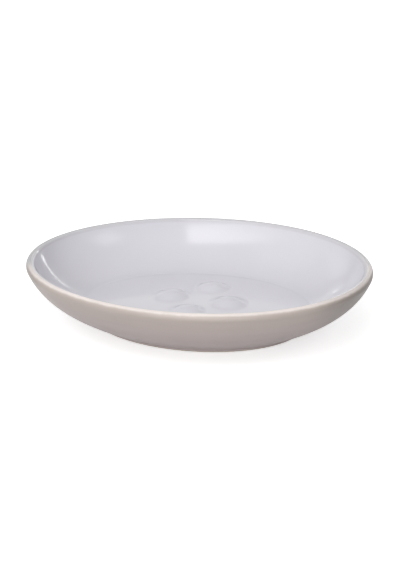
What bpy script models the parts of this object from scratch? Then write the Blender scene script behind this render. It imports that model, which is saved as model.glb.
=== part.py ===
"""An oval soap dish of glazed stoneware, in metres, standing on z = 0 with its length along X.

The dish is one fired clay body with three coats of glaze on it. A white glaze lines the bowl up to
the crest of the rim, a coloured glaze covers the wall outside, and a disc of the same coloured glaze
lies in the recess under the base. The ring that the dish stands on is left bare. Four raised knobs
on the floor of the bowl hold the soap clear of the water that runs off it.

Every surface follows one section, drawn as pairs of (inset, height). The inset is measured inwards
from the widest outline of the dish. A coat or a core under it is the same section, drawn at a depth
below the finished surface.
"""

import math

import bmesh
import bpy
from mathutils import Vector
from mathutils.geometry import delaunay_2d_cdt, interpolate_bezier

# Overall size. The widest outline is an oval whose +X end is a little fuller than the other.
LENGTH = 0.1400
WIDTH = 0.1206
HEIGHT = 0.0253
FULLER_END = 0.03

# Rim: a round edge, tighter on its inner side. Angles on it run from the outermost point, over the
# crest, to the inner side.
RIM_OUTER_RADIUS = 0.0020
RIM_INNER_RADIUS = 0.0015
LINING_END_ANGLE = math.radians(90)

# Wall outside, from the foot ring up to the rim.
OUTER_LEAN = math.radians(23)
OUTER_RISE = math.radians(24)
OUTER_RIM_HANDLE = 0.0102
OUTER_FOOT_HANDLE = 0.0138

# Wall inside, from the rim down to the edge of the floor.
INNER_LEAN = math.radians(25)
INNER_RISE = math.radians(10)
INNER_RIM_HANDLE = 0.0085
INNER_FLOOR_HANDLE = 0.0092

# Foot ring and the recess inside it.
FOOT_INSET = 0.0255
FOOT_HEIGHT = 0.0015
FOOT_WIDTH = 0.0040
FOOT_EDGE = 0.0004
RECESS_DEPTH = 0.0025
BARE_FOOT = 0.0007

# Floor of the bowl: a very low dome, so that water runs off to its edge.
FLOOR_INSET = 0.0240
FLOOR_EDGE_HEIGHT = 0.0071
FLOOR_RISE = 0.0015

# The four knobs, one on each end of a cross that is turned and shifted a little in the bowl.
KNOB_REACH_LONG = 0.0124
KNOB_REACH_WIDE = 0.0149
KNOB_TURN = math.radians(-5)
KNOB_SHIFT_LONG = 0.0006
KNOB_SHIFT_WIDE = 0.0012
KNOB_RADIUS = 0.0068
KNOB_HEIGHT = 0.0022
KNOB_BLEND = 0.8

# Coats of glaze, and the clearance between neighbouring solids.
GLAZE = 0.0005
CLEARANCE = 0.0003

# How finely the round shapes are divided.
SIDES = 64
WALL_STEPS = 6
RIM_STEPS = 4
KNOB_SIDES = 16
KNOB_RINGS = 6
KNOB_MARGIN = 1.05
FLOOR_RINGS = (0.80, 0.60)
SAME_POINT = 0.0000001
CREASE_ANGLE = math.radians(35)

CORE = GLAZE + CLEARANCE
OUTWARD_GAP = CLEARANCE / RIM_OUTER_RADIUS
KNOB_FOOT = KNOB_RADIUS * math.sqrt(1 + KNOB_BLEND)
BARE_CLAY = (0.72, 0.66, 0.58)
WHITE_GLAZE = (0.78, 0.78, 0.82)
TAUPE_GLAZE = (0.50, 0.43, 0.38)


def outline(inset, height):
    """The dish's oval, drawn in by the inset and lifted to the height."""
    points = []
    for side in range(SIDES):
        turn = math.tau * side / SIDES
        x = (LENGTH / 2 - inset) * math.cos(turn)
        y = (WIDTH / 2 - inset) * math.sin(turn) * (1 + FULLER_END * math.cos(turn))
        points.append(Vector((x, y, height)))
    return points


def rim_arc(start, end, depth, steps=RIM_STEPS):
    """Section of the round rim between two angles, at a depth below its surface."""
    arc = []
    for step in range(steps + 1):
        angle = start + (end - start) * step / steps
        radius = RIM_OUTER_RADIUS if angle < math.pi / 2 else RIM_INNER_RADIUS
        inset = RIM_OUTER_RADIUS - (radius - depth) * math.cos(angle)
        arc.append((inset, HEIGHT - radius + (radius - depth) * math.sin(angle)))
    return arc


def wall_curve(start, start_pull, end_pull, end, depth):
    """Section of a wall as a Bezier curve, moved by the depth to the side that holds the clay."""
    handles = [Vector((*point, 0)) for point in (start, start_pull, end_pull, end)]
    line = interpolate_bezier(*handles, WALL_STEPS + 1)
    moved = []
    for index, point in enumerate(line):
        before = line[max(index - 1, 0)]
        after = line[min(index + 1, WALL_STEPS)]
        along = (after - before).normalized()
        to_air = Vector((-along.y, along.x, 0))
        place = point - to_air * depth
        moved.append((place.x, place.y))
    return moved


def outer_wall(depth):
    """Section of the outside wall, from the foot ring up to the rim."""
    foot = (FOOT_INSET, FOOT_HEIGHT)
    foot_pull = (
        FOOT_INSET - OUTER_FOOT_HANDLE * math.cos(OUTER_RISE),
        FOOT_HEIGHT + OUTER_FOOT_HANDLE * math.sin(OUTER_RISE),
    )
    rim = (
        RIM_OUTER_RADIUS * (1 - math.cos(OUTER_LEAN)),
        HEIGHT - RIM_OUTER_RADIUS * (1 + math.sin(OUTER_LEAN)),
    )
    rim_pull = (
        rim[0] + OUTER_RIM_HANDLE * math.sin(OUTER_LEAN),
        rim[1] - OUTER_RIM_HANDLE * math.cos(OUTER_LEAN),
    )
    return wall_curve(foot, foot_pull, rim_pull, rim, depth)


def inner_wall(depth):
    """Section of the inside wall, from the rim down to the edge of the floor."""
    rim = (
        RIM_OUTER_RADIUS + RIM_INNER_RADIUS * math.cos(INNER_LEAN),
        HEIGHT - RIM_INNER_RADIUS * (1 - math.sin(INNER_LEAN)),
    )
    rim_pull = (
        rim[0] + INNER_RIM_HANDLE * math.sin(INNER_LEAN),
        rim[1] - INNER_RIM_HANDLE * math.cos(INNER_LEAN),
    )
    floor_edge = (FLOOR_INSET, FLOOR_EDGE_HEIGHT)
    floor_pull = (
        floor_edge[0] - INNER_FLOOR_HANDLE * math.cos(INNER_RISE),
        floor_edge[1] + INNER_FLOOR_HANDLE * math.sin(INNER_RISE),
    )
    return wall_curve(rim, rim_pull, floor_pull, floor_edge, depth)


def foot_corner(depth):
    """Where the foot ring's side meets the wall, at a depth below both."""
    rise = depth * (1 / math.cos(OUTER_RISE) - math.tan(OUTER_RISE))
    return (FOOT_INSET + depth, FOOT_HEIGHT + rise)


def outside_section(depth, rim_end):
    """The outside from the foot ring's corner, up the wall and round the rim to an angle on it."""
    wall = outer_wall(depth)[1:-1]
    widest = rim_arc(-OUTER_LEAN, 0, depth, steps=1)
    return [foot_corner(depth), *wall, *widest, *rim_arc(0, rim_end, depth)[1:]]


def inside_section(depth, rim_start):
    """The inside from an angle on the rim, down the wall to the last ring before the floor."""
    wall = inner_wall(depth)[1:-1]
    return [*rim_arc(rim_start, math.pi - INNER_LEAN, depth), *wall]


def knob_centres():
    """The middle of each knob, seen from above."""
    middle = Vector((KNOB_SHIFT_LONG, KNOB_SHIFT_WIDE))
    along = Vector((math.cos(KNOB_TURN), math.sin(KNOB_TURN)))
    across = Vector((-along.y, along.x))
    return [
        middle + along * KNOB_REACH_LONG,
        middle + across * KNOB_REACH_WIDE,
        middle - along * KNOB_REACH_LONG,
        middle - across * KNOB_REACH_WIDE,
    ]


def knob_lift(distance):
    """Height of a knob at a distance from its middle: a low dome that runs out in a soft fillet."""
    dome = 1 - (distance / KNOB_RADIUS) ** 2
    near_foot = max(1 - abs(dome) / KNOB_BLEND, 0)
    return KNOB_HEIGHT * (max(dome, 0) + KNOB_BLEND * near_foot**3 / 6)


def floor_surface(x, y):
    """Height of the glazed floor at a point: a low dome, and the knobs that rise from it."""
    out = math.hypot(x / (LENGTH / 2 - FLOOR_INSET), y / (WIDTH / 2 - FLOOR_INSET))
    height = FLOOR_EDGE_HEIGHT + FLOOR_RISE * (1 - min(out, 1) ** 2)
    for centre in knob_centres():
        height += knob_lift(math.hypot(x - centre.x, y - centre.y))
    return height


def floor_layout():
    """Flat points and triangles for the floor: its outline first, then rings that suit the knobs."""
    edge = [point.xy for point in outline(FLOOR_INSET, 0)]
    points = list(edge)
    centres = knob_centres()
    for centre in centres:
        points.append(centre)
        for ring in range(1, KNOB_RINGS + 1):
            radius = KNOB_FOOT * ring / KNOB_RINGS
            for side in range(KNOB_SIDES):
                turn = math.tau * side / KNOB_SIDES
                points.append(centre + Vector((math.cos(turn), math.sin(turn))) * radius)
    for share in FLOOR_RINGS:
        for point in edge[::2]:
            place = point * share
            if all((place - centre).length > KNOB_FOOT * KNOB_MARGIN for centre in centres):
                points.append(place)
    laid, _, faces, sources, _, _ = delaunay_2d_cdt(points, [], [list(range(SIDES))], 1, SAME_POINT)
    order = [source[0] for source in sources]
    return [points[index] for index in order], order, faces


def add_ring(bm, inset, height):
    return [bm.verts.new(point) for point in outline(inset, height)]


def loft(bm, rings):
    """Quads between each ring and the next."""
    for lower, upper in zip(rings, rings[1:]):
        for side in range(SIDES):
            after = (side + 1) % SIDES
            bm.faces.new((lower[side], lower[after], upper[after], upper[side]))


def close_with_floor(bm, layout, depth):
    """Adds the floor and its knobs at a depth, and returns the ring at its edge."""
    points, order, faces = layout
    verts = {}
    for index, source in enumerate(order):
        place = points[index]
        height = floor_surface(place.x, place.y) - depth
        verts[source] = bm.verts.new((place.x, place.y, height))
    for face in faces:
        bm.faces.new([verts[order[index]] for index in face])
    return [verts[side] for side in range(SIDES)]


def finish_object(bm, name, material, parent):
    """Turns the mesh into a named object with smooth faces and crisp edges."""
    bmesh.ops.recalc_face_normals(bm, faces=bm.faces)
    mesh = bpy.data.meshes.new(name)
    bm.to_mesh(mesh)
    bm.free()
    mesh.materials.append(material)
    mesh.shade_smooth()
    mesh.set_sharp_from_angle(angle=CREASE_ANGLE)
    piece = bpy.data.objects.new(name, mesh)
    piece.parent = parent
    bpy.context.scene.collection.objects.link(piece)
    return piece


def make_material(name, colour, roughness):
    material = bpy.data.materials.new(name)
    material.use_nodes = True
    shader = material.node_tree.nodes["Principled BSDF"]
    shader.inputs["Base Color"].default_value = (*colour, 1)
    shader.inputs["Roughness"].default_value = roughness
    shader.inputs["Metallic"].default_value = 0
    return material


def make_body(layout, parent):
    """The fired clay: base, foot ring, wall and knobs, all one piece."""
    bm = bmesh.new()
    outer = FOOT_INSET + CORE
    inner = outer + FOOT_WIDTH
    base = add_ring(bm, inner, RECESS_DEPTH + CORE)
    bm.faces.new(base)
    foot = [
        (inner, FOOT_EDGE),
        (inner - FOOT_EDGE, 0),
        (outer + FOOT_EDGE, 0),
        (outer, FOOT_EDGE),
    ]
    section = [
        *foot,
        *outside_section(CORE, math.pi / 2),
        *inside_section(CORE, math.pi / 2)[1:],
    ]
    rings = [base, *(add_ring(bm, *point) for point in section)]
    loft(bm, [*rings, close_with_floor(bm, layout, CORE)])
    return finish_object(bm, "stoneware_body", make_material("bare_clay", BARE_CLAY, 0.75), parent)


def make_lining(layout, parent):
    """The white glaze: floor, knobs and inside wall, up to the crest of the rim."""
    bm = bmesh.new()
    over = [add_ring(bm, *point) for point in inside_section(0, LINING_END_ANGLE)]
    under = [add_ring(bm, *point) for point in inside_section(GLAZE, LINING_END_ANGLE)]
    top_floor = close_with_floor(bm, layout, 0)
    bottom_floor = close_with_floor(bm, layout, GLAZE)
    loft(bm, [top_floor, *reversed(over), *under, bottom_floor])
    return finish_object(bm, "lining_glaze", make_material("white_glaze", WHITE_GLAZE, 0.12), parent)


def make_outer_glaze(material, parent):
    """The coloured glaze: the outside wall, from the rim's outer side down to that of the foot."""
    bm = bmesh.new()
    rim_end = LINING_END_ANGLE - OUTWARD_GAP
    rings = []
    for depth in (0, GLAZE):
        section = [(FOOT_INSET + depth, BARE_FOOT), *outside_section(depth, rim_end)]
        rings.append([add_ring(bm, *point) for point in section])
    skin, back = rings
    loft(bm, [*skin, *reversed(back), skin[0]])
    return finish_object(bm, "outer_glaze", material, parent)


def make_base_glaze(material, parent):
    """The coloured glaze in the recess under the dish: a thin oval disc."""
    bm = bmesh.new()
    inset = FOOT_INSET + CORE + FOOT_WIDTH + CLEARANCE
    disc = bm.faces.new(add_ring(bm, inset, RECESS_DEPTH))
    raised = bmesh.ops.extrude_face_region(bm, geom=[disc])
    verts = [item for item in raised["geom"] if isinstance(item, bmesh.types.BMVert)]
    bmesh.ops.translate(bm, verts=verts, vec=(0, 0, GLAZE))
    return finish_object(bm, "base_glaze", material, parent)


def main():
    for thing in list(bpy.data.objects):
        bpy.data.objects.remove(thing)
    dish = bpy.data.objects.new("soap_dish", None)
    bpy.context.scene.collection.objects.link(dish)
    layout = floor_layout()
    taupe = make_material("taupe_glaze", TAUPE_GLAZE, 0.35)
    make_body(layout, dish)
    make_lining(layout, dish)
    make_outer_glaze(taupe, dish)
    make_base_glaze(taupe, dish)


main()
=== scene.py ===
# %% [markdown]
# This lesson dresses an oval soap dish. The real dish is one fired stoneware pot with three coats
# of glaze: a white gloss one inside, a taupe one outside, and the same taupe under the base. Its
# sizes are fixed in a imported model, the frame, so the lesson loads that first and never moves it.

# %% Load the frame
import math

import bpy
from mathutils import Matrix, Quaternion, Vector
from mathutils.geometry import interpolate_bezier


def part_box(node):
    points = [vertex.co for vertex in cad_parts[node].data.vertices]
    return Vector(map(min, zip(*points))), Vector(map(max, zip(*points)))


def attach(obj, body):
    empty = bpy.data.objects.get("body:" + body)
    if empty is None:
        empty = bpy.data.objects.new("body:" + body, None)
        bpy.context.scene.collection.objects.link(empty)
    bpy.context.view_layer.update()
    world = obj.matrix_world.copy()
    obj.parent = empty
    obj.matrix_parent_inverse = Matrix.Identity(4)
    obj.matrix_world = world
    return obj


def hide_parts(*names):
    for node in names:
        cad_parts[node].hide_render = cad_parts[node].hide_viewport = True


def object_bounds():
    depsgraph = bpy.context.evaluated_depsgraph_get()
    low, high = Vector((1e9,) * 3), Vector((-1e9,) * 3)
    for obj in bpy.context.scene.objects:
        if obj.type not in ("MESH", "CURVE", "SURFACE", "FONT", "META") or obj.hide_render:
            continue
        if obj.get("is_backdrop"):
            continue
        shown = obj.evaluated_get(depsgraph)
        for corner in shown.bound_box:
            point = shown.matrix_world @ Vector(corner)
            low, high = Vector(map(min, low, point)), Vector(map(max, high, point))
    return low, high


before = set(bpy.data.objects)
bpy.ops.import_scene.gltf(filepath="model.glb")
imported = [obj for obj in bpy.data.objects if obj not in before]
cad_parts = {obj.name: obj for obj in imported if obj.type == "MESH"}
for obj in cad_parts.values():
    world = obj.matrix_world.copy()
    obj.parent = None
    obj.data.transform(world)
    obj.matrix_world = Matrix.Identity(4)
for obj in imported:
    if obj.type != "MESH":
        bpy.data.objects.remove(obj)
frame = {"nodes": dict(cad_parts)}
cad_low, cad_high = (Vector(corner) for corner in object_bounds())
print("Frame:", ", ".join(frame["nodes"]), "size", [round(side, 4) for side in cad_high - cad_low])

# %% [markdown]
# The camera comes first, because every look is seen through it. It stands a little over half a
# metre away, 20 degrees above the table, and sees the dish turned a little from its long side. A
# long lens keeps the near and far rim in their true proportion.

# %% Camera
PHOTO_WIDTH, PHOTO_HEIGHT = 400, 570
SENSOR = 36
CAMERA_TURN = math.radians(15.486)
CAMERA_RISE = math.radians(20)
CAMERA_DISTANCE = 0.560
AIM = Vector((0, 0, 0.012))
AIM_PIXEL = (197.872, 291.782)
PIXELS_PER_METRE = 2476

camera_data = bpy.data.cameras.new("camera")
camera = bpy.data.objects.new("camera", camera_data)
bpy.context.scene.collection.objects.link(camera)
bpy.context.scene.camera = camera
camera_back = Vector((
    math.sin(CAMERA_TURN) * math.cos(CAMERA_RISE),
    -math.cos(CAMERA_TURN) * math.cos(CAMERA_RISE),
    math.sin(CAMERA_RISE),
))
camera.location = AIM + camera_back * CAMERA_DISTANCE
camera.rotation_euler = camera_back.to_track_quat("Z", "Y").to_euler()
camera_data.sensor_width = SENSOR
camera_data.lens = PIXELS_PER_METRE * CAMERA_DISTANCE * SENSOR / PHOTO_HEIGHT
camera_data.shift_x = (PHOTO_WIDTH / 2 - AIM_PIXEL[0]) / PHOTO_HEIGHT
camera_data.shift_y = (AIM_PIXEL[1] - PHOTO_HEIGHT / 2) / PHOTO_HEIGHT
to_right = Vector((math.cos(CAMERA_TURN), math.sin(CAMERA_TURN), 0))
to_camera = Vector((math.sin(CAMERA_TURN), -math.cos(CAMERA_TURN), 0))
print("Camera lens", round(camera_data.lens, 1), "mm")

# %% [markdown]
# Every surface of the dish comes from one section, the line that a saw cut through the rim would
# show. It is drawn in pairs: how far a point lies in from the widest outline, and how high it is.
# The overall sizes are read from the frame. The rest are the potter's own numbers, in metres.

# %% Sizes of the dish
LENGTH, WIDTH, HEIGHT = cad_high - cad_low
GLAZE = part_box("base_glaze")[1][2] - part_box("base_glaze")[0][2]
RECESS_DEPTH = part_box("base_glaze")[0][2]
FLOOR_EDGE_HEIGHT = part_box("lining_glaze")[0][2] + GLAZE
BARE_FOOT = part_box("outer_glaze")[0][2]
FULLER_END = 0.03

RIM_OUTER_RADIUS = 0.0020
RIM_INNER_RADIUS = 0.0015
OUTER_LEAN = math.radians(23)
OUTER_RISE = math.radians(24)
OUTER_RIM_HANDLE = 0.0102
OUTER_FOOT_HANDLE = 0.0138

INNER_LEAN = math.radians(25)
INNER_RISE = math.radians(10)
INNER_RIM_HANDLE = 0.0085
INNER_FLOOR_HANDLE = 0.0092

FOOT_INSET = 0.0255
FOOT_HEIGHT = 0.0015
FLOOR_INSET = 0.0240
FLOOR_RISE = 0.0015
print("Glaze", round(GLAZE * 1000, 2), "mm thick")
print("Edge of the floor", round(FLOOR_EDGE_HEIGHT * 1000, 2), "mm up")

# %% [markdown]
# Two kinds of line draw the section: a Bezier curve for each wall, and an arc for the round rim. A
# Bezier curve is what a potter's profile rib is cut to, a smooth sweep with a set slope at each
# end. All of them take a depth, so one rule gives the surface of a glaze, its back, and the clay
# under it.

# %% Helper for round edges
RIM_ROWS = 22


def arc(middle, radius, start, end, rows):
    """Points round a middle; angle 0 points in towards the dish, a right angle points up."""
    points = []
    for row in range(rows + 1):
        angle = start + (end - start) * row / rows
        points.append((middle[0] + radius * math.cos(angle), middle[1] + radius * math.sin(angle)))
    return points


def rim_point(angle, depth):
    """A point of the round rim; angle 0 is outermost, a right angle is the crest."""
    radius = RIM_OUTER_RADIUS if angle < math.pi / 2 else RIM_INNER_RADIUS
    inset = RIM_OUTER_RADIUS - (radius - depth) * math.cos(angle)
    return (inset, HEIGHT - radius + (radius - depth) * math.sin(angle))


def rim_arc(start, end, depth=0.0, rows=RIM_ROWS):
    """The round rim between two angles."""
    return [rim_point(start + (end - start) * row / rows, depth) for row in range(rows + 1)]


print("Rim", round((RIM_OUTER_RADIUS + RIM_INNER_RADIUS) * 1000, 2), "mm across")

# %% Helpers for the walls
WALL_ROWS = 44
HIDDEN_ROWS = 14


def wall_curve(start, start_pull, end_pull, end, depth, rows):
    """A wall's Bezier curve, moved by the depth away from the air beside it."""
    handles = (Vector((*point, 0)) for point in (start, start_pull, end_pull, end))
    line = interpolate_bezier(*handles, rows + 1)
    moved = []
    for row, point in enumerate(line):
        along = (line[min(row + 1, rows)] - line[max(row - 1, 0)]).normalized()
        moved.append((point.x + along.y * depth, point.y - along.x * depth))
    return moved


def outer_wall(depth=0.0, rows=WALL_ROWS):
    """The outside wall, from the foot ring up to the rim."""
    rim = rim_point(-OUTER_LEAN, 0)
    foot_pull = (
        FOOT_INSET - OUTER_FOOT_HANDLE * math.cos(OUTER_RISE),
        FOOT_HEIGHT + OUTER_FOOT_HANDLE * math.sin(OUTER_RISE),
    )
    rim_pull = (
        rim[0] + OUTER_RIM_HANDLE * math.sin(OUTER_LEAN),
        rim[1] - OUTER_RIM_HANDLE * math.cos(OUTER_LEAN),
    )
    return wall_curve((FOOT_INSET, FOOT_HEIGHT), foot_pull, rim_pull, rim, depth, rows)


def inner_wall(depth=0.0, rows=WALL_ROWS):
    """The inside wall, from the rim down to the edge of the floor."""
    rim = rim_point(math.pi - INNER_LEAN, 0)
    rim_pull = (
        rim[0] + INNER_RIM_HANDLE * math.sin(INNER_LEAN),
        rim[1] - INNER_RIM_HANDLE * math.cos(INNER_LEAN),
    )
    floor_pull = (
        FLOOR_INSET - INNER_FLOOR_HANDLE * math.cos(INNER_RISE),
        FLOOR_EDGE_HEIGHT + INNER_FLOOR_HANDLE * math.sin(INNER_RISE),
    )
    return wall_curve(rim, rim_pull, floor_pull, (FLOOR_INSET, FLOOR_EDGE_HEIGHT), depth, rows)


print("Outer wall rises", round((outer_wall()[-1][1] - outer_wall()[0][1]) * 1000, 1), "mm")

# %% [markdown]
# A row is one ring of the finished mesh: its inset, its share of the floor's oval, its height, and
# whether the knobs lift it. On the walls the share is 1. On the floor the inset stays and the
# share shrinks to 0, which closes the surface at the middle.

# %% Rows for walls and floors
FLOOR_ROWS = 96
HIDDEN_FLOOR_ROWS = 24
BASE_ROWS = 8


def wall_rows(points):
    """Rows for a stretch of wall, rim or foot."""
    return [(inset, 1.0, height, 0.0) for inset, height in points]


def floor_rows(depth, rows, rising):
    """Rows for the floor of the bowl, from its middle to its edge if rising, else back."""
    made = []
    for row in range(rows):
        share = row / rows
        height = FLOOR_EDGE_HEIGHT + FLOOR_RISE * (1 - share**2) - depth
        made.append((FLOOR_INSET, share, height, 1.0))
    return made if rising else made[::-1]


def base_rows(inset, height, rising):
    """Rows for a flat oval, from its middle to its edge if rising, else back."""
    made = [(inset, row / BASE_ROWS, height, 0.0) for row in range(BASE_ROWS)]
    return made if rising else made[::-1]


print("Floor of", FLOOR_ROWS, "rows")

# %% [markdown]
# The dish is neither round nor quite an ellipse, so a Screw or Spin won't turn it. A Geometry
# Nodes tree does: it takes the section's points and sets each one round the oval, once for every
# side. The same tree lifts the floor into the four knobs, which stand on the ends of a small
# cross. On the real dish they are part of the mould, so the glaze runs over them without a seam,
# and a smooth maximum gives each dome that soft run-out.

# %% Helpers for node trees


def tree_with(name, kind, inputs, outputs):
    """A new node tree with its named sockets, and its input and output nodes."""
    tree = bpy.data.node_groups.new(name, kind)
    for label, socket, value in inputs:
        made = tree.interface.new_socket(name=label, in_out="INPUT", socket_type=socket)
        if value is not None:
            made.default_value = value
    for label, socket in outputs:
        tree.interface.new_socket(name=label, in_out="OUTPUT", socket_type=socket)
    return tree, tree.nodes.new("NodeGroupInput"), tree.nodes.new("NodeGroupOutput")


def add(tree, kind, *sources, **settings):
    """Adds a node, sets what is named, and feeds its inputs in order from sockets or values."""
    node = tree.nodes.new(kind)
    for name, value in settings.items():
        setattr(node, name, value)
    for slot, source in enumerate(sources):
        if isinstance(source, bpy.types.NodeSocket):
            tree.links.new(source, node.inputs[slot])
        elif source is not None:
            node.inputs[slot].default_value = source
    return node


def maths(tree, operation, *sources):
    """One sum on numbers that vary over the shape."""
    return add(tree, "ShaderNodeMath", *sources, operation=operation).outputs[0]


def vector_maths(tree, operation, *sources):
    """One sum on vectors or colours; a length or a dot product comes out as a number."""
    node = add(tree, "ShaderNodeVectorMath", *sources, operation=operation)
    return node.outputs["Value" if operation in ("DOT_PRODUCT", "LENGTH") else "Vector"]


def soft_step(tree, value, start, end, low=0.0, high=1.0):
    """A smooth change from low to high while the value goes from start to end."""
    node = add(tree, "ShaderNodeMapRange", value, start, end, low, high)
    node.interpolation_type = "SMOOTHSTEP"
    return node.outputs[0]


print("Node helpers are ready")

# %% The knobs' node group


def make_knob_tree():
    """Height that the knobs add to the floor at each point."""
    tree, given, result = tree_with(
        "Knob relief",
        "GeometryNodeTree",
        [
            ("Count", "NodeSocketInt", 4),
            ("Reach Long", "NodeSocketFloat", 0.0124),
            ("Reach Wide", "NodeSocketFloat", 0.0149),
            ("Turn", "NodeSocketFloat", math.radians(-5)),
            ("Shift Long", "NodeSocketFloat", 0.0006),
            ("Shift Wide", "NodeSocketFloat", 0.0012),
            ("Radius", "NodeSocketFloat", 0.0068),
            ("Height", "NodeSocketFloat", 0.0022),
            ("Blend", "NodeSocketFloat", 0.8),
        ],
        [("Lift", "NodeSocketFloat")],
    )
    count, reach_long, reach_wide, turn = given.outputs[:4]
    shift_long, shift_wide, radius, height, softness = given.outputs[4:9]
    ring = add(tree, "GeometryNodeMeshCircle", count, 1.0)
    reach = add(tree, "ShaderNodeCombineXYZ", reach_long, reach_wide, 1.0)
    spin = add(tree, "ShaderNodeCombineXYZ", 0.0, 0.0, turn)
    shift = add(tree, "ShaderNodeCombineXYZ", shift_long, shift_wide, 0.0)
    spread = add(tree, "GeometryNodeTransform", ring.outputs[0])
    tree.links.new(reach.outputs[0], spread.inputs["Scale"])
    turned = add(tree, "GeometryNodeTransform", spread.outputs[0])
    tree.links.new(spin.outputs[0], turned.inputs["Rotation"])
    tree.links.new(shift.outputs[0], turned.inputs["Translation"])
    spot = add(tree, "GeometryNodeInputPosition").outputs[0]
    flat = vector_maths(tree, "MULTIPLY", spot, (1, 1, 0))
    near = add(tree, "GeometryNodeProximity", turned.outputs[0], target_element="POINTS")
    tree.links.new(flat, near.inputs["Sample Position"])
    share = maths(tree, "DIVIDE", near.outputs["Distance"], radius)
    dome = maths(tree, "SUBTRACT", 1.0, maths(tree, "POWER", share, 2.0))
    soft = maths(tree, "SMOOTH_MAX", dome, 0.0, softness)
    tree.links.new(maths(tree, "MULTIPLY", soft, height), result.inputs[0])
    return tree


knob_tree = make_knob_tree()
print("Knob relief has", len(knob_tree.nodes), "nodes")

# %% The oval turning tree


def make_turning_tree():
    """Turns a section's rows round the oval of the dish."""
    tree, given, result = tree_with(
        "Oval turning",
        "GeometryNodeTree",
        [
            ("Section", "NodeSocketGeometry", None),
            ("Sides", "NodeSocketInt", 256),
            ("Half Length", "NodeSocketFloat", 0.07),
            ("Half Width", "NodeSocketFloat", 0.06),
            ("Fuller End", "NodeSocketFloat", 0.03),
            ("Join Distance", "NodeSocketFloat", 0.000002),
            ("Finish", "NodeSocketMaterial", None),
        ],
        [("Piece", "NodeSocketGeometry")],
    )
    section, sides, half_length, half_width, fuller, join, finish = given.outputs[:7]
    rows = add(tree, "GeometryNodeAttributeDomainSize", section).outputs["Point Count"]
    sheet = add(tree, "GeometryNodeMeshGrid", 1.0, 1.0, maths(tree, "ADD", sides, 1.0), rows)
    index = add(tree, "GeometryNodeInputIndex").outputs[0]
    row = maths(tree, "FLOORED_MODULO", index, rows)
    column = maths(tree, "FLOOR", maths(tree, "DIVIDE", maths(tree, "ADD", index, 0.5), rows))

    place = add(tree, "GeometryNodeSampleIndex", data_type="FLOAT_VECTOR")
    tree.links.new(section, place.inputs["Geometry"])
    tree.links.new(add(tree, "GeometryNodeInputPosition").outputs[0], place.inputs["Value"])
    tree.links.new(row, place.inputs["Index"])
    inset, share, height = add(tree, "ShaderNodeSeparateXYZ", place.outputs[0]).outputs

    lifted = add(tree, "GeometryNodeSampleIndex", data_type="FLOAT")
    tree.links.new(section, lifted.inputs["Geometry"])
    raised = add(tree, "GeometryNodeInputNamedAttribute", "raised", data_type="FLOAT")
    tree.links.new(raised.outputs["Attribute"], lifted.inputs["Value"])
    tree.links.new(row, lifted.inputs["Index"])

    turn = maths(tree, "MULTIPLY", maths(tree, "DIVIDE", column, sides), math.tau)
    along = maths(tree, "COSINE", turn)
    across = maths(tree, "SINE", turn)
    bulge = maths(tree, "MULTIPLY_ADD", along, fuller, 1.0)

    def reach(half, part):
        """How far a point of the row lies from the middle along one axis."""
        outline = maths(tree, "MULTIPLY", maths(tree, "SUBTRACT", half, inset), part)
        return maths(tree, "MULTIPLY", outline, share)

    wide = maths(tree, "MULTIPLY", reach(half_width, across), bulge)
    oval = add(tree, "ShaderNodeCombineXYZ", reach(half_length, along), wide, height)
    shaped = add(tree, "GeometryNodeSetPosition", sheet.outputs["Mesh"], None, oval.outputs[0])

    knobs = add(tree, "GeometryNodeGroup", node_tree=knob_tree)
    lift = maths(tree, "MULTIPLY", knobs.outputs["Lift"], lifted.outputs[0])
    rise = add(tree, "ShaderNodeCombineXYZ", 0.0, 0.0, lift)
    knobbed = add(tree, "GeometryNodeSetPosition", shaped.outputs[0])
    tree.links.new(rise.outputs[0], knobbed.inputs["Offset"])

    closed = add(tree, "GeometryNodeMergeByDistance", knobbed.outputs[0])
    tree.links.new(join, closed.inputs["Distance"])
    smooth = add(tree, "GeometryNodeSetShadeSmooth", closed.outputs[0])
    real = add(tree, "GeometryNodeRealizeInstances", smooth.outputs[0])
    painted = add(tree, "GeometryNodeSetMaterial", real.outputs[0])
    tree.links.new(finish, painted.inputs["Material"])
    tree.links.new(painted.outputs[0], result.inputs[0])
    return tree


turning_tree = make_turning_tree()
print("Oval turning has", len(turning_tree.nodes), "nodes")

# %% [markdown]
# Running the tree needs a small object that holds the section. Its result is turned to a plain
# mesh at once, and the modifier goes, so that what is left is an ordinary piece at the origin.

# %% Helper that turns a piece
SIDES = 256
turns = [math.tau * side / SIDES for side in range(SIDES)]
swell = max(math.sin(turn) * (1 + FULLER_END * math.cos(turn)) for turn in turns)
print("The fuller end widens the oval by a factor of", round(swell, 5))


def turn_piece(name, rows, material, closed=False):
    """A finished piece from its rows; closed joins the last row to the first."""
    if closed:
        rows = [*rows, rows[0]]
    section = bpy.data.meshes.new(name + "_section")
    section.from_pydata([row[:3] for row in rows], [(i, i + 1) for i in range(len(rows) - 1)], [])
    raised = section.attributes.new("raised", "FLOAT", "POINT")
    raised.data.foreach_set("value", [row[3] for row in rows])
    piece = bpy.data.objects.new(name, section)
    bpy.context.scene.collection.objects.link(piece)
    modifier = piece.modifiers.new("Oval turning", "NODES")
    modifier.node_group = turning_tree
    values = {
        "Sides": SIDES,
        "Half Length": LENGTH / 2,
        "Half Width": WIDTH / 2 / swell,
        "Fuller End": FULLER_END,
        "Finish": material,
    }
    for item in turning_tree.interface.items_tree:
        if item.in_out == "INPUT" and item.name in values:
            modifier[item.identifier] = values[item.name]
    evaluated = piece.evaluated_get(bpy.context.evaluated_depsgraph_get())
    piece.data = bpy.data.meshes.new_from_object(evaluated)
    piece.modifiers.clear()
    bpy.data.meshes.remove(section)
    print(name, len(piece.data.vertices), "points,", len(piece.data.polygons), "faces")
    return piece
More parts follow.
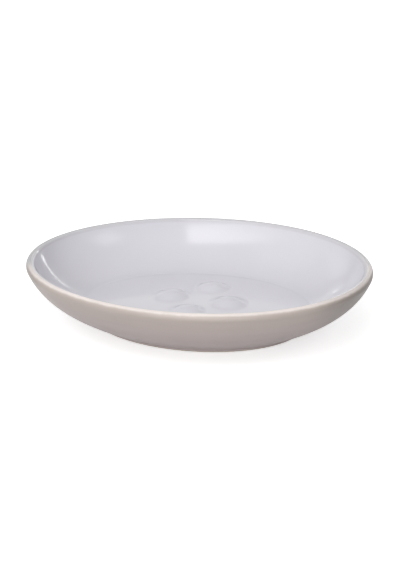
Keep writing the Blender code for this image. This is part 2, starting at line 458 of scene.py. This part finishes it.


# %% [markdown]
# Glaze is glass that has melted, run a little and set, and that leaves traces: a skin with long
# soft waves and a faint orange peel, small clouds where the coat is thicker or the kiln was
# hotter, and pools where it gathered in a hollow. One group is painted shade: a mask for the far
# half of the rim, where the glazes are drawn darker. The clay adds tiny iron specks. Each of
# these is a shader group, built once and placed in the finishes with its own values.

# %% Helpers for finishes


def new_finish(name):
    """A material with its tree and its shader."""
    material = bpy.data.materials.new(name)
    material.use_nodes = True
    return material, material.node_tree, material.node_tree.nodes["Principled BSDF"]


def place_group(tree, group, **values):
    """Places a shader group with its own values and returns its output."""
    node = add(tree, "ShaderNodeGroup", node_tree=group)
    for name, value in values.items():
        node.inputs[name.replace("_", " ").title()].default_value = value
    return node.outputs[0]


def object_spot(tree):
    """The place of each point on the dish, in metres."""
    return add(tree, "ShaderNodeTexCoord").outputs["Object"]


def noise(tree, spot, scale, detail):
    """Soft noise between 0 and 1."""
    return add(tree, "ShaderNodeTexNoise", spot, None, scale, detail).outputs["Fac"]


def between(tree, share, low, high, start=0.0, end=1.0):
    """A number that goes from low to high as the share goes from start to end."""
    return add(tree, "ShaderNodeMapRange", share, start, end, low, high).outputs[0]


def blend(tree, share, first, second):
    """Two colours mixed by a share."""
    node = add(tree, "ShaderNodeMix", share, data_type="RGBA")
    for slot, colour in ((6, first), (7, second)):
        if isinstance(colour, bpy.types.NodeSocket):
            tree.links.new(colour, node.inputs[slot])
        else:
            node.inputs[slot].default_value = (*colour, 1)
    return node.outputs[2]


def relief(tree, shader, height, distance):
    """Lets a height tilt the surface; the distance is the height's real size in metres."""
    bump = add(tree, "ShaderNodeBump")
    bump.inputs["Distance"].default_value = distance
    tree.links.new(height, bump.inputs["Height"])
    tree.links.new(bump.outputs[0], shader.inputs["Normal"])


print("Finish helpers are ready")

# %% Glaze skin and kiln cloud
CLOUD_RANGE = (0.3, 0.7)


def make_skin_group():
    """Long waves with a fine peel on them, as a height."""
    tree, given, result = tree_with(
        "Glaze skin",
        "ShaderNodeTree",
        [
            ("Wave Size", "NodeSocketFloat", 0.014),
            ("Peel Size", "NodeSocketFloat", 0.0018),
            ("Peel Share", "NodeSocketFloat", 0.1),
        ],
        [("Height", "NodeSocketFloat")],
    )
    wave_size, peel_size, peel_share = given.outputs[:3]
    spot = object_spot(tree)
    wave = noise(tree, spot, maths(tree, "DIVIDE", 1.0, wave_size), 0.0)
    peel = noise(tree, spot, maths(tree, "DIVIDE", 1.0, peel_size), 1.0)
    tree.links.new(maths(tree, "MULTIPLY_ADD", peel, peel_share, wave), result.inputs[0])
    return tree


def make_cloud_group():
    """Slow change over the surface, from 0 to 1, drawn out level as a turning wheel draws it."""
    tree, given, result = tree_with(
        "Kiln cloud",
        "ShaderNodeTree",
        [("Cloud Size", "NodeSocketFloat", 0.02), ("Flatness", "NodeSocketFloat", 1.0)],
        [("Cloud", "NodeSocketFloat")],
    )
    cloud_size, flatness = given.outputs[:2]
    stretch = add(tree, "ShaderNodeCombineXYZ", 1.0, 1.0, flatness).outputs[0]
    spot = vector_maths(tree, "MULTIPLY", object_spot(tree), stretch)
    soft = noise(tree, spot, maths(tree, "DIVIDE", 1.0, cloud_size), 3.0)
    tree.links.new(between(tree, soft, 0.0, 1.0, *CLOUD_RANGE), result.inputs[0])
    return tree


glaze_skin = make_skin_group()
kiln_cloud = make_cloud_group()
print("Groups:", glaze_skin.name, "and", kiln_cloud.name)

# %% Far rim shade, a painted shade
# Painted shade: this mask marks the far half of the rim, which the glazes draw darker.
FAR_SIDE_TURN = math.radians(15.486)
FAR_SIDE = (-math.sin(FAR_SIDE_TURN), math.cos(FAR_SIDE_TURN), 0)


def make_far_shade_group():
    """A mask for painted shade: 0 on the near half of the rim, 1 on its far half."""
    tree, given, result = tree_with(
        "Poured edge",
        "ShaderNodeTree",
        [("Start", "NodeSocketFloat", -0.010), ("End", "NodeSocketFloat", 0.001)],
        [("Poured", "NodeSocketFloat")],
    )
    start, end = given.outputs[:2]
    depth = vector_maths(tree, "DOT_PRODUCT", object_spot(tree), FAR_SIDE)
    tree.links.new(soft_step(tree, depth, start, end), result.inputs[0])
    return tree


far_rim_shade = make_far_shade_group()
print("Group:", far_rim_shade.name)

# %% Specks and pools


def make_speck_group():
    """Small round specks as a mask; the share says how many cells of the spacing hold one."""
    tree, given, result = tree_with(
        "Fired specks",
        "ShaderNodeTree",
        [
            ("Speck Size", "NodeSocketFloat", 0.0003),
            ("Spacing", "NodeSocketFloat", 0.0012),
            ("Share", "NodeSocketFloat", 0.1),
        ],
        [("Specks", "NodeSocketFloat")],
    )
    speck_size, spacing, share = given.outputs[:3]
    scale = maths(tree, "DIVIDE", 1.0, spacing)
    cells = add(tree, "ShaderNodeTexVoronoi", object_spot(tree), None, scale)
    reach = maths(tree, "DIVIDE", maths(tree, "MULTIPLY", speck_size, 0.5), spacing)
    dot = soft_step(tree, cells.outputs["Distance"], 0.0, reach, 1.0, 0.0)
    draw = add(tree, "ShaderNodeSeparateColor", cells.outputs["Color"]).outputs[0]
    kept = maths(tree, "LESS_THAN", draw, share)
    tree.links.new(maths(tree, "MULTIPLY", dot, kept), result.inputs[0])
    return tree


def make_pool_group():
    """A soft band round an oval of the dish, where runny glaze gathers in the hollow."""
    tree, given, result = tree_with(
        "Glaze pool",
        "ShaderNodeTree",
        [
            ("Half Length", "NodeSocketFloat", 0.046),
            ("Half Width", "NodeSocketFloat", 0.036),
            ("Reach", "NodeSocketFloat", 0.004),
        ],
        [("Pool", "NodeSocketFloat")],
    )
    half_length, half_width, reach = given.outputs[:3]
    x, y, _ = add(tree, "ShaderNodeSeparateXYZ", object_spot(tree)).outputs
    along, across = maths(tree, "DIVIDE", x, half_length), maths(tree, "DIVIDE", y, half_width)
    flat = add(tree, "ShaderNodeCombineXYZ", along, across, 0.0).outputs[0]
    out = vector_maths(tree, "LENGTH", flat)
    away = maths(tree, "ABSOLUTE", maths(tree, "SUBTRACT", out, 1.0))
    far = maths(tree, "DIVIDE", maths(tree, "MULTIPLY", away, half_width), reach)
    tree.links.new(soft_step(tree, far, 0.0, 1.0, 1.0, 0.0), result.inputs[0])
    return tree


fired_specks = make_speck_group()
glaze_pool = make_pool_group()
print("Groups:", fired_specks.name, "and", glaze_pool.name)

# %% [markdown]
# The white glaze is a cool, milky gloss. It mirrors the lamps sharply, so its roughness stays low
# and its skin nearly flat. It is a shade deeper where it pooled round the floor's edge. In the last
# millimetre and a half under the rim it is painted greyer, as painted shade. On the crest it runs
# thin and breaks to a warm cream, except on the far half, where painted shade makes it a cool
# grey. The height of a point says where each tone begins, and a little noise makes it waver.

# %% Height of a glaze
RIM_WAVER = 0.0002
WAVER_FINENESS = 300.0


def glaze_height(tree, waver):
    """Height of a point, shifted a little by noise so that tones don't meet in a clean line."""
    spot = object_spot(tree)
    up = add(tree, "ShaderNodeSeparateXYZ", spot).outputs[2]
    shift = between(tree, noise(tree, spot, WAVER_FINENESS, 2.0), -waver, waver)
    return maths(tree, "ADD", up, shift)


print("Tones waver by up to", RIM_WAVER * 1000, "mm")

# %% White glaze
MILK = ((0.700, 0.690, 0.738), (0.718, 0.706, 0.752))
POOL_TONE = (0.670, 0.668, 0.735)
POOL_REACH = 0.004
POOL_SHARE = 0.35
RIM_SHADE_TONE = (0.630, 0.618, 0.646)
RIM_SHADE_BELOW = (0.0017, 0.0007)
CREST_TONE = (0.80, 0.765, 0.76)
SHADED_CREST_TONE = (0.56, 0.55, 0.57)
CREST_DEPTH = 0.00007
GLOSS = (0.07, 0.11)
WHITE_RELIEF = 0.00008


def make_white():
    """Milky gloss, deeper in its pool, with painted shade under the rim and on the far crest."""
    material, tree, shader = new_finish("white_glaze_finish")
    cloud = place_group(tree, kiln_cloud, cloud_size=0.024)
    milk = blend(tree, cloud, *MILK)
    pool = place_group(
        tree,
        glaze_pool,
        half_length=LENGTH / 2 - FLOOR_INSET,
        half_width=WIDTH / 2 - FLOOR_INSET,
        reach=POOL_REACH,
    )
    pooled = blend(tree, maths(tree, "MULTIPLY", pool, POOL_SHARE), milk, POOL_TONE)
    height = glaze_height(tree, RIM_WAVER / 4)
    # Painted shade: a greyer band under the rim, and a grey crest on the far half.
    rim_band_shade = soft_step(tree, height, *(HEIGHT - below for below in RIM_SHADE_BELOW))
    on_crest = soft_step(tree, height, HEIGHT - CREST_DEPTH, HEIGHT)
    edge = blend(tree, rim_band_shade, pooled, RIM_SHADE_TONE)
    crest = blend(tree, place_group(tree, far_rim_shade), CREST_TONE, SHADED_CREST_TONE)
    tree.links.new(blend(tree, on_crest, edge, crest), shader.inputs["Base Color"])
    tree.links.new(between(tree, cloud, *GLOSS), shader.inputs["Roughness"])
    relief(tree, shader, place_group(tree, glaze_skin), WHITE_RELIEF)
    return material


white_glaze = make_white()
print("White glaze has", len(white_glaze.node_tree.nodes), "nodes")

# %% [markdown]
# The taupe glaze is satin: tiny crystals in it blur what it mirrors. Its colour follows the height
# on the wall. Low on the foot it is painted paler, as painted bounce light from the floor. It is
# even over the belly, warmer just under the rim, and it breaks to cream over the edge, where it ran
# thin. A colour ramp on the height says all that in a few stops. Level streaks are what the wheel
# left, and specks are iron from the clay. Both ends of the oval are painted darker as painted
# shade, the crest there less than the wall. On the far half, just under the crest, painted shade
# turns the taupe a dark grey.

# %% Tones of the taupe, with painted bounce light
# The lowest stop, paler than the belly, is painted bounce light from the floor.
TAUPE_AND_BOUNCE_STOPS = (
    (0.0020, (0.535, 0.461, 0.456)),
    (0.0110, (0.412, 0.352, 0.343)),
    (0.0237, (0.428, 0.372, 0.342)),
    (0.0244, (0.490, 0.427, 0.391)),
    (0.0250, (0.805, 0.735, 0.705)),
)


def tones_and_painted_bounce(tree, share):
    """The taupe of each height, foot to crest, painted paler low down as bounce light."""
    ramp = add(tree, "ShaderNodeValToRGB", share)
    stops = ramp.color_ramp.elements
    while len(stops) < len(TAUPE_AND_BOUNCE_STOPS):
        stops.new(0.5)
    for stop, (height, colour) in zip(stops, TAUPE_AND_BOUNCE_STOPS):
        stop.position = height / HEIGHT
        stop.color = (*colour, 1)
    return ramp.outputs[0]


print("The taupe changes over", len(TAUPE_AND_BOUNCE_STOPS), "heights")

# %% Streaks and painted shade at the ends
STREAKS = (0.97, 1.03)
PAINTED_SHADE_ENDS = (0.049, 0.071)
END_SHADE_DEPTH = 0.46
CREST_SHADE_SHARE = 0.35
CREST_RANGE = (0.0237, 0.0247)


def streaks_and_painted_shade(tree, share):
    """A factor for the level streaks and the painted shade at both ends."""
    streaks = between(tree, place_group(tree, kiln_cloud, cloud_size=0.03, flatness=12.0), *STREAKS)
    along = add(tree, "ShaderNodeSeparateXYZ", object_spot(tree)).outputs[0]
    # Painted shade: both ends of the oval are drawn darker, the crest less than the wall.
    ends = soft_step(tree, maths(tree, "ABSOLUTE", along), *PAINTED_SHADE_ENDS, 0.0, END_SHADE_DEPTH)
    wall = between(tree, share, 1.0, CREST_SHADE_SHARE, *(height / HEIGHT for height in CREST_RANGE))
    kept = maths(tree, "SUBTRACT", 1.0, maths(tree, "MULTIPLY", ends, wall))
    return maths(tree, "MULTIPLY", streaks, kept)


print("The ends darken from", round(PAINTED_SHADE_ENDS[0] * 1000), "mm off the middle")

# %% Taupe glaze
FAR_SHADE_RANGE = (0.0237, 0.0245)
FAR_SHADE_TONE = (0.50, 0.49, 0.50)
SPECK_TONE = (0.26, 0.20, 0.17)
SPECK_SHARE = 0.2
SATIN = (0.29, 0.34)
TAUPE_RELIEF = 0.0001


def make_taupe():
    """The satin: height tones, painted bounce light and shade, streaks and iron specks."""
    material, tree, shader = new_finish("taupe_glaze_finish")
    share = maths(tree, "DIVIDE", glaze_height(tree, RIM_WAVER), HEIGHT)
    # Height tones with painted bounce light, times the streaks and the painted shade at the ends.
    shaded_tones = vector_maths(tree, "MULTIPLY", tones_and_painted_bounce(tree, share), streaks_and_painted_shade(tree, share))
    under_rim = between(tree, share, 0.0, 1.0, *(height / HEIGHT for height in FAR_SHADE_RANGE))
    # Painted shade: a dark grey band just under the crest on the far half.
    far_shade = maths(tree, "MULTIPLY", under_rim, place_group(tree, far_rim_shade))
    far_shaded = blend(tree, far_shade, shaded_tones, FAR_SHADE_TONE)
    specks = place_group(tree, fired_specks, speck_size=0.00025, share=0.06)
    colour = blend(tree, maths(tree, "MULTIPLY", specks, SPECK_SHARE), far_shaded, SPECK_TONE)
    tree.links.new(colour, shader.inputs["Base Color"])
    tree.links.new(between(tree, place_group(tree, kiln_cloud), *SATIN), shader.inputs["Roughness"])
    relief(tree, shader, place_group(tree, glaze_skin, peel_share=0.2), TAUPE_RELIEF)
    return material


taupe_glaze = make_taupe()
print("Taupe glaze has", len(taupe_glaze.node_tree.nodes), "nodes")

# %% [markdown]
# The ring that the dish stands on is wiped bare before firing, or it would stick to the kiln
# shelf. Fired stoneware there is matt, sandy to the touch, with darker grit in it. It needs a real
# grain: a fine noise for both its colour and its relief, and none of the glaze's skin.

# %% Bare clay
CLAY_TONES = ((0.60, 0.52, 0.44), (0.66, 0.59, 0.50))
SAND_TONE = (0.48, 0.40, 0.32)
SAND_RANGE = (-0.4, 0.9)
GRIT_TONE = (0.25, 0.18, 0.13)
GRAIN_FINENESS = 4000.0
MATT = (0.7, 0.95)
CLAY_RELIEF = 0.00006


def make_clay_finish():
    """Matt fired clay: pale patches, a sandy grain and dark grit."""
    material, tree, shader = new_finish("bare_clay_finish")
    grain = noise(tree, object_spot(tree), GRAIN_FINENESS, 3.0)
    patches = blend(tree, place_group(tree, kiln_cloud, cloud_size=0.008), *CLAY_TONES)
    sandy = blend(tree, between(tree, grain, *SAND_RANGE), patches, SAND_TONE)
    grit = place_group(tree, fired_specks, speck_size=0.0004, spacing=0.0009, share=0.3)
    tree.links.new(blend(tree, grit, sandy, GRIT_TONE), shader.inputs["Base Color"])
    tree.links.new(between(tree, grain, *MATT), shader.inputs["Roughness"])
    relief(tree, shader, grain, CLAY_RELIEF)
    return material


bare_clay = make_clay_finish()
print("Bare clay has", len(bare_clay.node_tree.nodes), "nodes")

# %% [markdown]
# At the crest of the rim the white glaze laps over the taupe. Two coats can't share one space, so
# each is drawn thinner there: the white runs out over the taupe to a fine edge, and the taupe runs
# out under it. One helper draws that slope for both, a hair apart.

# %% The white lining
LAP_ANGLE = math.radians(85)
LAP_LENGTH = math.radians(38)
LAP_ROWS = 8
LAP_STEP = 0.00005
LAP_GAP = 0.00002
LAP_BACK = math.radians(2)


def lap_slope(gap):
    """The slope between the lapped glazes, from the white's fine edge down to its full depth."""
    points = []
    for row in range(LAP_ROWS + 1):
        share = row / LAP_ROWS
        thin = LAP_STEP + gap
        points.append(rim_point(LAP_ANGLE + LAP_LENGTH * share, thin + (GLAZE - thin) * share))
    return points


def make_lining():
    """White glaze: over the floor, the knobs, the inside wall and the crest of the rim."""
    rim_end = math.pi - INNER_LEAN
    under = [
        *floor_rows(GLAZE, HIDDEN_FLOOR_ROWS, rising=True),
        *wall_rows(inner_wall(GLAZE, HIDDEN_ROWS)[::-1]),
        *wall_rows(rim_arc(rim_end, LAP_ANGLE + LAP_LENGTH, GLAZE, LAP_ROWS)[1:-1]),
        *wall_rows(lap_slope(0)[::-1]),
    ]
    over = [
        *wall_rows(rim_arc(LAP_ANGLE, rim_end)),
        *wall_rows(inner_wall()[1:]),
        *floor_rows(0, FLOOR_ROWS, rising=False),
    ]
    return turn_piece("white_lining", [*under, *over], white_glaze)


lining = make_lining()

# %% [markdown]
# The outside coat hangs from the rim down to the side of the foot. Glaze fills the sharp inner
# corner where the wall meets the foot, so the section has a small fillet there, and a rounded lip
# where the coat ends above the bare ring.

# %% The taupe outside
CREASE_RADIUS = 0.0008
CREASE_ROWS = 8
LIP_RADIUS = 0.0002
LIP_ROWS = 4


def foot_corner(depth):
    """Where the foot ring's side meets the wall, at a depth below both."""
    rise = depth * (1 / math.cos(OUTER_RISE) - math.tan(OUTER_RISE))
    return (FOOT_INSET + depth, FOOT_HEIGHT + rise)


def foot_crease():
    """The fillet of glaze between the side of the foot and the wall."""
    run = CREASE_RADIUS * (1 - math.sin(OUTER_RISE)) / math.cos(OUTER_RISE)
    height = FOOT_HEIGHT + run * math.sin(OUTER_RISE) - CREASE_RADIUS * math.cos(OUTER_RISE)
    middle = (FOOT_INSET - CREASE_RADIUS, height)
    return arc(middle, CREASE_RADIUS, 0, math.pi / 2 - OUTER_RISE, CREASE_ROWS)


def make_outer():
    """Taupe glaze: the outside wall, from under the white lap down to the side of the foot."""
    lip_middle = (FOOT_INSET + LIP_RADIUS, BARE_FOOT + LIP_RADIUS)
    skin = [
        *arc(lip_middle, LIP_RADIUS, -math.pi / 2, -math.pi, LIP_ROWS),
        *foot_crease(),
        *outer_wall()[1:],
        *rim_arc(-OUTER_LEAN, LAP_ANGLE - LAP_BACK)[1:],
    ]
    back = [
        *rim_arc(LAP_ANGLE + LAP_LENGTH, -OUTER_LEAN, GLAZE, LAP_ROWS)[1:],
        *outer_wall(GLAZE, HIDDEN_ROWS)[::-1][1:-1],
        foot_corner(GLAZE),
        (FOOT_INSET + GLAZE, BARE_FOOT),
    ]
    rows = wall_rows([*skin, *lap_slope(LAP_GAP), *back])
    return turn_piece("taupe_outside", rows, taupe_glaze, closed=True)


outer = make_outer()

# %% [markdown]
# Under the glazes is the clay itself. Only its foot ring shows, on the underside, so that is where
# its rows are spent: both edges of the ring are sponged round, as a potter leaves them. Elsewhere
# it follows the same section a coat deeper, which keeps the whole pot one closed body.

# %% The clay body
FOOT_WIDTH = 0.0040
FOOT_EDGE = 0.0004
EDGE_ROWS = 5
CLEARANCE = 0.0003
CORE = GLAZE + CLEARANCE


def make_clay():
    """The clay body under the glazes, with its bare foot ring."""
    side = FOOT_INSET + CORE
    recess = side + FOOT_WIDTH
    ring = [
        (recess, RECESS_DEPTH + CORE),
        *arc((recess - FOOT_EDGE, FOOT_EDGE), FOOT_EDGE, 0, -math.pi / 2, EDGE_ROWS),
        *arc((side + FOOT_EDGE, FOOT_EDGE), FOOT_EDGE, -math.pi / 2, -math.pi, EDGE_ROWS),
        foot_corner(CORE),
    ]
    rows = [
        *base_rows(recess, RECESS_DEPTH + CORE, rising=True),
        *wall_rows(ring),
        *wall_rows(outer_wall(CORE, HIDDEN_ROWS)[1:]),
        *wall_rows(rim_arc(-OUTER_LEAN, math.pi - INNER_LEAN, CORE, LAP_ROWS)[1:]),
        *wall_rows(inner_wall(CORE, HIDDEN_ROWS)[1:]),
        *floor_rows(CORE, HIDDEN_FLOOR_ROWS, rising=False),
    ]
    return turn_piece("clay_body", rows, bare_clay)


clay = make_clay()

# %% [markdown]
# The recess inside the ring is glazed too, so that the base doesn't draw water. The coat turns
# down the inner side of the ring in a small hollow and ends in a thin edge just above the bare
# clay.

# %% The taupe base
HOLLOW_RADIUS = 0.0010


def make_base():
    """Taupe glaze in the recess under the base."""
    ring_side = FOOT_INSET + CORE + FOOT_WIDTH
    face = ring_side + CLEARANCE
    hollow = (face + HOLLOW_RADIUS, RECESS_DEPTH - HOLLOW_RADIUS)
    lip_middle = (face - LIP_RADIUS, BARE_FOOT + LIP_RADIUS)
    turn_down = [
        *arc(hollow, HOLLOW_RADIUS, math.pi / 2, math.pi, CREASE_ROWS),
        *arc(lip_middle, LIP_RADIUS, 0, -math.pi / 2, LIP_ROWS),
        (ring_side, BARE_FOOT),
        (ring_side, RECESS_DEPTH + GLAZE),
    ]
    rows = [
        *base_rows(face + HOLLOW_RADIUS, RECESS_DEPTH, rising=True),
        *wall_rows(turn_down),
        *base_rows(ring_side, RECESS_DEPTH + GLAZE, rising=False),
    ]
    return turn_piece("taupe_base", rows, taupe_glaze)


base = make_base()

# %% [markdown]
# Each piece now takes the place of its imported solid. The dish has no joints, so all of them ride
# on its one body.

# %% Put the pieces on the frame
parts = {
    "lining_glaze": (lining, "white_glaze"),
    "outer_glaze": (outer, "taupe_glaze"),
    "stoneware_body": (clay, "bare_clay"),
    "base_glaze": (base, "taupe_glaze"),
}
for node, (piece, slot) in parts.items():
    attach(piece, "root")
    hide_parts(node)
print("Pieces:", ", ".join(piece.name for piece, _ in parts.values()))

# %% [markdown]
# The dish stands on a plain white sheet. Under plain light a white sheet renders light grey, so
# the floor gives off a little light of its own to the camera, and less of it to mirrors, where it
# would veil the satin glaze. Matt surfaces don't see that light, so the dish isn't lit by it, and
# its soft shadow stays on the sheet.

# %% Floor
FLOOR_REACH = 12
FLOOR_COLOUR = 0.80
FLOOR_LIFT = 0.60
MIRROR_LIFT = 0.20
FLOOR_ROUGHNESS = 0.9

floor_mesh = bpy.data.meshes.new("floor")
signs = ((-1, -1), (1, -1), (1, 1), (-1, 1))
corners = [(x * FLOOR_REACH, y * FLOOR_REACH, 0) for x, y in signs]
floor_mesh.from_pydata(corners, [], [(0, 1, 2, 3)])
floor = bpy.data.objects.new("floor", floor_mesh)
bpy.context.scene.collection.objects.link(floor)
floor_finish, tree, shader = new_finish("floor_finish")
shader.inputs["Base Color"].default_value = (FLOOR_COLOUR, FLOOR_COLOUR, FLOOR_COLOUR, 1)
shader.inputs["Roughness"].default_value = FLOOR_ROUGHNESS
rays = add(tree, "ShaderNodeLightPath").outputs
mirrored = maths(tree, "ADD", rays["Is Glossy Ray"], rays["Is Transmission Ray"])
mirrored = maths(tree, "MULTIPLY", mirrored, MIRROR_LIFT)
seen = maths(tree, "MULTIPLY_ADD", rays["Is Camera Ray"], FLOOR_LIFT, mirrored)
tree.links.new(seen, shader.inputs["Emission Strength"])
shader.inputs["Emission Color"].default_value = (1, 1, 1, 1)
floor_mesh.materials.append(floor_finish)
floor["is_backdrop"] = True
print("Floor", 2 * FLOOR_REACH, "m wide")

# %% [markdown]
# A gloss glaze is only as good as what it mirrors. The world is a pale room whose walls differ a
# little, built of soft sectors: a low and a middle band, each with walls towards some of the four
# sides, and a ceiling. The bands are given by the sine of the height that they are seen at.

# %% The room's sectors
LOW_BAND = (0.20, 0.50)
CEILING = (0.60, 0.85)

world = bpy.data.worlds.new("world")
bpy.context.scene.world = world
world.use_nodes = True
room = world.node_tree
towards = add(room, "ShaderNodeTexCoord").outputs["Generated"]
rise = add(room, "ShaderNodeSeparateXYZ", towards).outputs[2]
low = soft_step(room, rise, *LOW_BAND, 1.0, 0.0)
ceiling = soft_step(room, rise, *CEILING)
middle = maths(room, "SUBTRACT", maths(room, "SUBTRACT", 1.0, low), ceiling)
level = vector_maths(room, "NORMALIZE", vector_maths(room, "MULTIPLY", towards, (1, 1, 0)))


def wall(side, band, radiance):
    """Light from one soft sector of the room."""
    facing = vector_maths(room, "DOT_PRODUCT", level, tuple(side))
    facing = maths(room, "POWER", maths(room, "MAXIMUM", facing, 0.0), 2.0)
    return maths(room, "MULTIPLY", maths(room, "MULTIPLY", facing, band), radiance)


print("The low walls fade from", round(math.degrees(math.asin(LOW_BAND[0]))), "degrees up")

# %% World
CEILING_LIGHT = 0.54
WALLS = (
    (-to_right, low, 0.30),
    (-to_camera, low, 0.66),
    (to_right, middle, 0.61),
    (-to_right, middle, 0.83),
    (-to_camera, middle, 0.43),
)

strength = maths(room, "MULTIPLY", ceiling, CEILING_LIGHT)
for side, band, radiance in WALLS:
    strength = maths(room, "ADD", strength, wall(side, band, radiance))
background = room.nodes["Background"]
background.inputs["Color"].default_value = (1, 1, 1, 1)
room.links.new(strength, background.inputs["Strength"])
print("World of", len(WALLS), "walls and a ceiling")

# %% [markdown]
# Soft lamps stand round the dish, each where the real glaze shows a bright patch or line. Each
# dims towards its own edges, by a share of its width or height that is set for every side, because
# a mirror image in the photograph is sharp on one side and melts away on another. The key panel
# overhead makes the bright patch on the far wall. Narrow lamps, two of them rolled to one side,
# draw the lines at both ends of the bowl.

# %% Helpers for lamps
SOFT_EDGES = (0.3, 0.3, 0.3, 0.3)


def fade(lamp, left, right, low, high):
    """Dims a lamp towards its edges; each number is the share of its side that the fade takes."""
    lamp.data.use_nodes = True
    tree = lamp.data.node_tree
    spot = add(tree, "ShaderNodeNewGeometry").outputs["Parametric"]
    across, up, _ = add(tree, "ShaderNodeSeparateXYZ", spot).outputs
    strength = 1.0
    for share, place, start in ((left, across, 0), (right, across, 1), (low, up, 0), (high, up, 1)):
        if share:
            inwards = 1 - 2 * start
            rising = soft_step(tree, place, start, start + inwards * share)
            strength = maths(tree, "MULTIPLY", rising, strength)
    tree.links.new(strength, tree.nodes["Emission"].inputs["Strength"])


def softbox(name, azimuth, elevation, distance, size, radiance, edges=SOFT_EDGES, roll=0):
    """A rectangular lamp that faces the dish, with its angles in degrees.

    Its azimuth is counted from the camera to the right, its radiance is what a mirror would show
    of it, its edges are the shares that fade, and its roll tips it to the left.
    """
    turn = math.radians(azimuth)
    rise = math.radians(elevation)
    away = (to_right * math.sin(turn) + to_camera * math.cos(turn)) * math.cos(rise)
    away = away + Vector((0, 0, math.sin(rise)))
    data = bpy.data.lights.new(name, "AREA")
    data.shape = "RECTANGLE"
    data.size, data.size_y = size
    data.energy = radiance * math.pi * size[0] * size[1]
    lamp = bpy.data.objects.new(name, data)
    bpy.context.scene.collection.objects.link(lamp)
    lamp.location = away * distance
    tipped = Quaternion((0, 0, 1), math.radians(roll))
    lamp.rotation_euler = (away.to_track_quat("Z", "Y") @ tipped).to_euler()
    lamp.visible_camera = False
    fade(lamp, *edges)
    return lamp


def overhead(name, right, front, height, size, radiance, edges=SOFT_EDGES):
    """A panel that hangs level over the dish and shines straight down."""
    lamp = softbox(name, 0, 90, height, size, radiance, edges)
    lamp.location = to_right * right + to_camera * front + Vector((0, 0, height))
    lamp.rotation_euler = (0, 0, CAMERA_TURN)


print("Lamps fade at each edge over", SOFT_EDGES[0], "of their size, unless they say otherwise")

# %% Large lamps
LAMP_DISTANCE = 1.2

overhead("key_panel", -0.65, 0.715, 0.90, (1.3, 1.0), 3.5, (1.0, 0, 0.35, 0.2))
softbox("right_box", 68, 44, 1.3, (0.6, 0.5), 1.6)
softbox("front_low", -8, 16, LAMP_DISTANCE, (2.0, 1.1), 2.75)
softbox("back_mid", 180, 23.5, LAMP_DISTANCE, (1.6, 0.22), 0.48, (0.3, 0.3, 0.05, 0.5))
softbox("left_back", 230, 22, LAMP_DISTANCE, (0.8, 0.5), 0.6)
softbox("left_high", -100, 55, LAMP_DISTANCE, (1.0, 0.7), 0.2)
print("Large lamps:", len(bpy.data.lights))

# %% Narrow lamps
softbox("back_strip", 154.5, 14, LAMP_DISTANCE, (0.54, 0.085), 5.0, (0.1, 0.4, 0.5, 0.5), roll=42)
softbox("left_spot", 202, 16.5, LAMP_DISTANCE, (0.22, 0.10), 1.6, (0.2, 0.8, 0.4, 0.4), roll=-56)
softbox("back_low", 162, 6.5, LAMP_DISTANCE, (0.80, 0.13), 3.0, (0.15, 0.15, 0.4, 0.4))
print("All lamps:", len(bpy.data.lights))

# %% [markdown]
# The Standard view shows each colour as the light gives it, with no filmic curve. Last, the
# lesson measures the dressed dish and prints its box.

# %% Sizes and finish
bpy.context.scene.view_settings.view_transform = "Standard"
visual_low, visual_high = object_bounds()
for label, corner in (("from", visual_low), ("to", visual_high)):
    print("Visual box", label, [round(part, 5) for part in corner])
